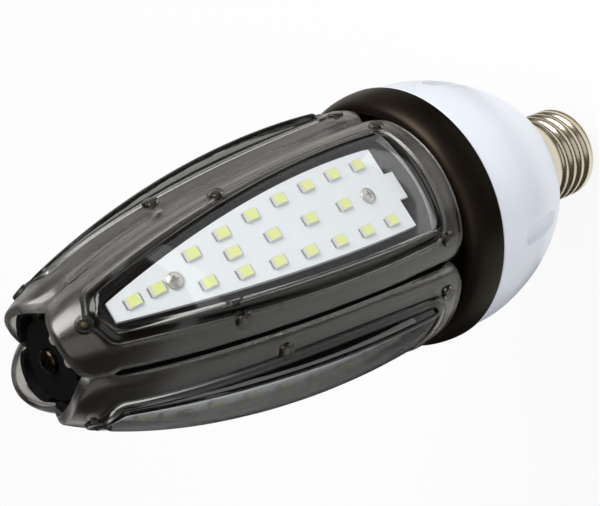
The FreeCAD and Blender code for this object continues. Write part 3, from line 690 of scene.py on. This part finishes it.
def cover_outline(depth):
    """Outline of the cover at a depth in its wall: round corners, the slots, a taper and a round nose."""
    span = COVER_TIP - COVER_FOOT
    levels = (COVER_FOOT, COVER_FOOT + TAPER_START * span, COVER_FOOT + TAPER_SHOULDER * span,
              COVER_TIP - COVER_NOSE_L)
    widths = (COVER_HALF_W, COVER_HALF_W, COVER_SHOULDER_W, COVER_NOSE_W)
    half = [(0.0, COVER_FOOT)]
    for bend in np.linspace(0, QUARTER_TURN, 12):
        half.append((COVER_HALF_W - COVER_CORNER * (1 - math.sin(bend)),
                     COVER_FOOT + COVER_CORNER * (1 - math.cos(bend))))
    for z in np.linspace(COVER_FOOT + COVER_CORNER, levels[-1], 80)[1:]:
        half.append((min(float(np.interp(z, levels, widths)), float(seam_w(z, depth))), z))
    nose_r = (half[-1][0] ** 2 + COVER_NOSE_L ** 2) / (2 * COVER_NOSE_L)
    for bend in np.linspace(math.asin(half[-1][0] / nose_r), 0, 14)[1:]:
        half.append((nose_r * math.sin(bend), COVER_TIP - nose_r * (1 - math.cos(bend))))
    return closed_outline(half)


def inner_window_outline():
    """Outline of the window without its round corners, which the distance from it gives."""
    inset = WINDOW_CORNER
    flank = [(WINDOW_FOOT_W - inset, WINDOW_FOOT + inset), (WINDOW_MIDDLE_W - inset, WINDOW_MIDDLE),
             (WINDOW_TIP_W - TIP_INSET_W * inset, WINDOW_TIP - WINDOW_POINT - TIP_INSET_Z * inset)]
    foot, tip = flank[0][1], flank[2][1]
    half = [(0.0, foot)] + [(arc_through(flank, z), z) for z in np.linspace(foot, tip, 60)]
    return closed_outline(half + [(0.0, WINDOW_TIP - inset)])


def distance(points, outline):
    """Distance of points from a closed outline, below zero inside it."""
    a, b = outline, np.roll(outline, -1, axis=0)
    run = b - a
    to = points[:, None, :] - a[None]
    share = np.clip((to * run).sum(2) / np.maximum((run * run).sum(1), 1e-12), 0, 1)
    gap = np.sqrt(((to - share[..., None] * run) ** 2).sum(2)).min(1)
    above = (a[None, :, 1] > points[:, None, 1]) != (b[None, :, 1] > points[:, None, 1])
    rise = np.where(np.abs(run[:, 1]) < 1e-12, 1e-12, run[:, 1])
    cross = a[None, :, 0] + (points[:, None, 1] - a[None, :, 1]) / rise * run[:, 0]
    inside = (above & (points[:, None, 0] < cross)).sum(1) % 2 == 1
    return np.where(inside, -gap, gap)


# Rays fan out from a spine in the window's middle. Each ring of the cover's skin has a point on every ray.
FAN_FOOT, FAN_NOSE = WINDOW_FOOT + 13.0, WINDOW_TIP - 6.0
FOOT_RAYS, SIDE_RAYS, NOSE_RAYS = 72, 76, 60
fan = [(0.0, FAN_FOOT, math.cos(b), math.sin(b)) for b in np.linspace(-math.pi, 0, FOOT_RAYS, False)]
fan += [(0.0, z, 1.0, 0.0) for z in np.linspace(FAN_FOOT, FAN_NOSE, SIDE_RAYS, False)]
fan += [(0.0, FAN_NOSE, math.cos(b), math.sin(b)) for b in np.linspace(0, math.pi, NOSE_RAYS, False)]
fan += [(0.0, z, -1.0, 0.0) for z in np.linspace(FAN_NOSE, FAN_FOOT, SIDE_RAYS, False)]
origins, ways = np.array(fan)[:, :2], np.array(fan)[:, 2:]
inner_outline = inner_window_outline()
rings = []


def reach(outline, step):
    """How far along each ray a curve runs that lies a step outside an outline."""
    low, high = np.zeros(len(origins)), np.full(len(origins), FARTHEST)
    for _ in range(HALVINGS):
        middle = 0.5 * (low + high)
        outside = distance(origins + ways * middle[:, None], outline) > step
        low, high = np.where(outside, low, middle), np.where(outside, middle, high)
    return 0.5 * (low + high)


def window_reach(step):
    """How far along each ray a curve runs that lies a step outside the window."""
    return reach(inner_outline, WINDOW_CORNER + step)


def add_ring(along, surface, depth=0.0, lift=0.0):
    """A ring of points at distances along the rays, on a surface and lifted off it."""
    w, z = (origins + ways * np.asarray(along)[:, None]).T
    rings.append(np.stack((surface(w, z, depth) + lift, w, z), axis=1))


# Window top and its rounded edge.
top_edge, wall = window_reach(-WINDOW_SOFT), window_reach(0.0)
for share in (0.0, 0.2, 0.4, 0.6, 0.8, 0.93):
    add_ring(top_edge * share, window_x)
wall_w, wall_z = (origins + ways * wall[:, None]).T
tall = window_x(wall_w, wall_z, 0.0) - flange_x(wall_w, wall_z, 0.0)
top_soft = np.minimum(WINDOW_SOFT, TOP_SOFT_MOST * tall)
foot_soft = np.minimum(FOOT_SOFT, FOOT_SOFT_MOST * tall)
for bend in np.linspace(0, QUARTER_TURN, 6):
    add_ring(top_edge + (wall - top_edge) * math.sin(bend), window_x, 0.0, -top_soft * (1 - math.cos(bend)))
WINDOW_ROWS = len(rings) - 2

# Window wall down to the flange, and the ridge round it.
for bend in np.linspace(0, QUARTER_TURN, 6):
    add_ring(wall + foot_soft * (1 - math.cos(bend)), flange_x, 0.0, foot_soft * (1 - math.sin(bend)))
add_ring(window_reach(WALL_MARGIN), flange_x)
WALL_ROWS = len(rings)
for share in np.linspace(0, 1, 11):
    lift = RIDGE_H * (0.5 - 0.5 * math.cos(FULL_TURN * share))
    add_ring(window_reach(RIDGE_STEP - RIDGE_W + RIDGE_W * share), flange_x, 0.0, lift)

# Flange, its rounded rim and the hollow underside.
flange_in, flange_out = window_reach(RIDGE_STEP + FLANGE_MARGIN), reach(cover_outline(0.0), -RIM_SOFT)
for share in (0.0, 0.15, 0.3, 0.45, 0.6, 0.75, 0.9, 1.0):
    add_ring(flange_in + (flange_out - flange_in) * share, flange_x)
for bend in np.linspace(0, QUARTER_TURN, 5)[1:]:
    depth = RIM_SOFT * (1 - math.cos(bend))
    add_ring(reach(cover_outline(depth), -RIM_SOFT * (1 - math.sin(bend))), flange_x, depth)
for bend in np.linspace(0, QUARTER_TURN, 5):
    depth = FLANGE_WALL - RIM_SOFT * (1 - math.sin(bend))
    add_ring(reach(cover_outline(depth), -RIM_SOFT * (1 - math.cos(bend))), flange_x, depth)
under_out, under_in = reach(cover_outline(FLANGE_WALL), -RIM_SOFT), window_reach(-WINDOW_WALL)
for share in (0.15, 0.3, 0.45, 0.6, 0.75, 0.9, 1.0):
    add_ring(under_out + (under_in - under_out) * share, flange_x, FLANGE_WALL)
for share in (1.0, 0.97, 0.8, 0.6, 0.4, 0.2, 0.0):
    add_ring(under_in * share, window_x, WINDOW_WALL)
CLEAR_UNDER_ROWS = 11
cover_verts = [tuple(p) for ring in rings for p in ring]
cover_faces = grid_faces(len(rings), len(origins))

# Bosses stand square to the flange.
BOSS_R, BOSS_H, BOSS_SOFT, BOSS_COLUMNS, BOSS_SIDE_ROWS = 2.0, 0.8, 0.45, 36, 5
BOSS_FLARE = [(0.15, -1.0), (0.1, 0.1), (0.0, 0.25)]
BOSSES = [(16.5, COVER_FOOT + 5.7), (-16.5, COVER_FOOT + 5.7), (15.2, COVER_FOOT + 56.3),
          (-13.8, COVER_FOOT + 66.6), (0.0, COVER_TIP - 5.6)]
NEARBY = 0.1


def flange_normal(w, z):
    """Point of the flange and the direction out of it."""
    here = Vector((float(flange_x(w, z, 0.0)), w, z))
    up = Vector((float(flange_x(w, z + NEARBY, 0.0)), w, z + NEARBY)) - here
    aside = Vector((float(flange_x(w + NEARBY, z, 0.0)), w + NEARBY, z)) - here
    return here, aside.cross(up).normalized()


cover_places = [flange_normal(w, z) for w, z in BOSSES]
boss_profile = [(BOSS_R + flare, height) for flare, height in BOSS_FLARE]
boss_profile += [(BOSS_R - BOSS_SOFT * (1 - math.cos(bend)), BOSS_H - BOSS_SOFT * (1 - math.sin(bend)))
                 for bend in np.linspace(0, QUARTER_TURN, 6)]
boss = turned_solid(boss_profile, BOSS_COLUMNS)

# Smoked polycarbonate: a hard gloss over a faint grey, and light passes to the board. Seen edge on, light
# crosses more of the smoked wall, so it turns grey there; at the clear window that grey is far darker than
# the longer path gives, so it is partly painted shade. The flange has a fine spark finish, which spreads the
# light, and along the window's wall the inside of the plastic is painted near black, a painted shade for the
# dark band round the board.


def smoked(name, tint, edge_shade_tint, lit_tint, edge_through, roughness, coat, wave_mm, wave_depth, inside_painted_shade):
    """Smoked plastic that lets lamp light through, turns grey edge on, partly as painted shade, and is
    painted near black by a share where seen from inside it, a painted shade.
    """
    made, tree = new_material(name)
    place = add_node(tree, "ShaderNodeTexCoord")
    wave = add_node(tree, "ShaderNodeTexNoise", {"Scale": 1 / (wave_mm * MM), "Detail": 1.0},
                    {"Vector": place.outputs["Object"]})
    dent = add_node(tree, "ShaderNodeBump", {"Strength": 0.3, "Distance": wave_depth * MM},
                    {"Height": wave.outputs["Fac"]})
    edge_haze = 0.07
    resin_sockets = {"IOR": 1.58, "Coat Weight": coat, "Coat Roughness": 0.2}
    body = add_node(tree, "ShaderNodeBsdfPrincipled",
                    {"Base Color": linear(tint), "Roughness": roughness, "Transmission Weight": 1.0,
                     **resin_sockets},
                    {"Normal": dent.outputs["Normal"]})
    # Edge on, the plastic takes a second tint. For the clear window it is a grey far darker than the longer
    # path through the smoke gives, so partly painted shade.
    edge_on = add_node(tree, "ShaderNodeBsdfPrincipled",
                       {"Base Color": linear(edge_shade_tint), "Roughness": roughness + edge_haze,
                        "Transmission Weight": edge_through, **resin_sockets},
                       {"Normal": dent.outputs["Normal"]})
    tilt = add_node(tree, "ShaderNodeLayerWeight", {"Blend": 0.5})
    edge_on_share = add_node(tree, "ShaderNodeMapRange", {"From Min": 0.42, "From Max": 0.62},
                     {"Value": tilt.outputs["Facing"]})
    smoke = add_node(tree, "ShaderNodeMixShader", {},
                     {"Fac": edge_on_share.outputs["Result"], 1: body.outputs[0], 2: edge_on.outputs[0]})
    # Painted shade: where a ray meets the plastic from inside, a share of the surface becomes a near-black
    # diffuse.
    side = add_node(tree, "ShaderNodeNewGeometry")
    inside_painted_shade_share = add_node(tree, "ShaderNodeMath", {"operation": "MULTIPLY", 1: inside_painted_shade},
                          {0: side.outputs["Backfacing"]})
    shade = add_node(tree, "ShaderNodeBsdfDiffuse", {"Color": linear("#080808")})
    seen = add_node(tree, "ShaderNodeMixShader", {},
                    {"Fac": inside_painted_shade_share.outputs[0], 1: smoke.outputs[0], 2: shade.outputs[0]})
    lit = add_node(tree, "ShaderNodeBsdfTransparent", {"Color": linear(lit_tint)})
    path = add_node(tree, "ShaderNodeLightPath")
    lights = add_node(tree, "ShaderNodeMath", {"operation": "MAXIMUM"},
                      {0: path.outputs["Is Shadow Ray"], 1: path.outputs["Is Diffuse Ray"]})
    pick = add_node(tree, "ShaderNodeMixShader", {},
                    {"Fac": lights.outputs[0], 1: seen.outputs[0], 2: lit.outputs[0]})
    add_node(tree, "ShaderNodeOutputMaterial", {}, {"Surface": pick.outputs[0]})
    return made


clear_plastic = smoked("clear smoked polycarbonate", tint="#f4f5f5", edge_shade_tint="#454341", lit_tint="#f4f4f3",
                       edge_through=0.92, roughness=0.03, coat=0.0, wave_mm=14.0, wave_depth=0.005, inside_painted_shade=0.0)
satin_plastic = smoked("satin smoked polycarbonate", tint="#c3bfb9", edge_shade_tint="#c3bfb9", lit_tint="#c3bfb9",
                       edge_through=0.97, roughness=0.25, coat=0.7, wave_mm=9.0, wave_depth=0.004, inside_painted_shade=0.0)
# Along the window's wall the inside is painted near black, a painted shade that darkens the band round the
# board.
wall_plastic = smoked("smoked polycarbonate along a wall, painted dark inside",
                      tint="#74706b", edge_shade_tint="#7c7873", lit_tint="#6b6762",
                      edge_through=0.99, roughness=0.1, coat=0.0, wave_mm=9.0, wave_depth=0.004, inside_painted_shade=0.9)
PLASTICS = (clear_plastic, satin_plastic, wall_plastic)
CLEAR, SATIN, WALL = range(3)

blank = new_object("cover blank", cover_verts, cover_faces)
row_finish = [SATIN] * len(rings)
# The window's wall rows take the wall plastic, with its painted shade inside.
row_finish[:WALL_ROWS] = [CLEAR] * WINDOW_ROWS + [WALL] * (WALL_ROWS - WINDOW_ROWS)
row_finish[-CLEAR_UNDER_ROWS:] = [CLEAR] * CLEAR_UNDER_ROWS
finish = [row_finish[k // len(origins)] for k in range(len(cover_faces))]
blank.data.polygons.foreach_set("material_index", finish)
skin = bmesh.new()
skin.from_mesh(blank.data)
bmesh.ops.remove_doubles(skin, verts=skin.verts[:], dist=WELD * MM)
skin.to_mesh(blank.data)
skin.free()
bosses = new_object("boss blank", *copies(boss, cover_places))
side_faces = BOSS_COLUMNS * BOSS_SIDE_ROWS
# The bosses' sides take the wall plastic too, so a ring of painted shade shows round each boss.
boss_finish = [WALL] * side_faces + [CLEAR] * (len(boss[1]) - side_faces)
bosses.data.polygons.foreach_set("material_index", boss_finish * len(BOSSES))
for piece in (blank, bosses):
    for plastic in PLASTICS:
        piece.data.materials.append(plastic)
join = blank.modifiers.new("bosses", "BOOLEAN")
join.operation = "UNION"
join.object = bosses
join.solver = "EXACT"
fused = bpy.data.meshes.new_from_object(blank.evaluated_get(bpy.context.evaluated_depsgraph_get()))
bpy.data.objects.remove(blank)
bpy.data.objects.remove(bosses)

for k in MODULES:
    mesh = fused.copy()
    mesh.name = "clear_cover_%d" % k
    piece = at_module(bpy.data.objects.new("clear_cover_%d" % k, mesh), k)
    bpy.context.scene.collection.objects.link(piece)
    piece.data.shade_smooth()
    piece.data.set_sharp_from_angle(angle=math.radians(40))
    add_piece(piece, clear_plastic, "cover_clear", "cover_%d" % k)
bpy.data.meshes.remove(fused)

# Cover screws: short steel tapping screws, passivated yellow, driven from the heat sink into the covers'
# blind bosses. Their tips show through the bosses.
TIP_PROFILE, TIP_COLUMNS = [(0.9, -3.0), (0.9, -0.5), (0.7, -0.25), (0.25, -0.2)], 36

# Yellow passivated steel: a dull brassy metal, cloudy from the bath.
brass = grained("yellow passivated steel", 0.6, {"Base Color": linear("#564d3b"), "Metallic": 1.0},
                roughness=(0.25, 0.4))
set_screws("cover_screw_tips", turned_solid(TIP_PROFILE, TIP_COLUMNS), round_axis(cover_places), brass)

# Nose: a black plate ties the heat sinks together, with a domed cross screw into the centre rod and
# two small screws at the first module.
_, plate_high = (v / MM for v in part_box("nose_plate"))
UPWARDS = (0, 0, 1)
NOSE_SCREW = {"head_r": 2.9, "head_h": 2.0, "shank_r": 1.6, "shank_l": 9.0, "recess": 1.3}
SMALL_SCREW = {"head_r": 1.3, "head_h": 1.1, "shank_r": 0.8, "shank_l": 4.5, "recess": 0.6}
SMALL_SCREW_PLACES = [(6.0, 2.4), (6.9, -3.6)]
dress("nose_plate", sink_black)
for node in ("centre_rod", "foot_screws", "housing_screws"):
    dress(node, zinc)

# Black oxide on steel: nearly black, oiled, with a tight brown glint at its edges.
oxide = grained("black oxide steel", 0.6, {"Base Color": linear("#453e39"), "Metallic": 1.0},
                roughness=(0.16, 0.3))
set_screws("nose_dome_screw", screw_mesh(**NOSE_SCREW),
           [((0, 0, plate_high.z), UPWARDS)], oxide, "nose_screw")
set_screws("nose_small_screws", screw_mesh(**SMALL_SCREW),
           [((x, y, plate_high.z), UPWARDS) for x, y in SMALL_SCREW_PLACES], zinc, "nose_plate_screws")

low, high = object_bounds()
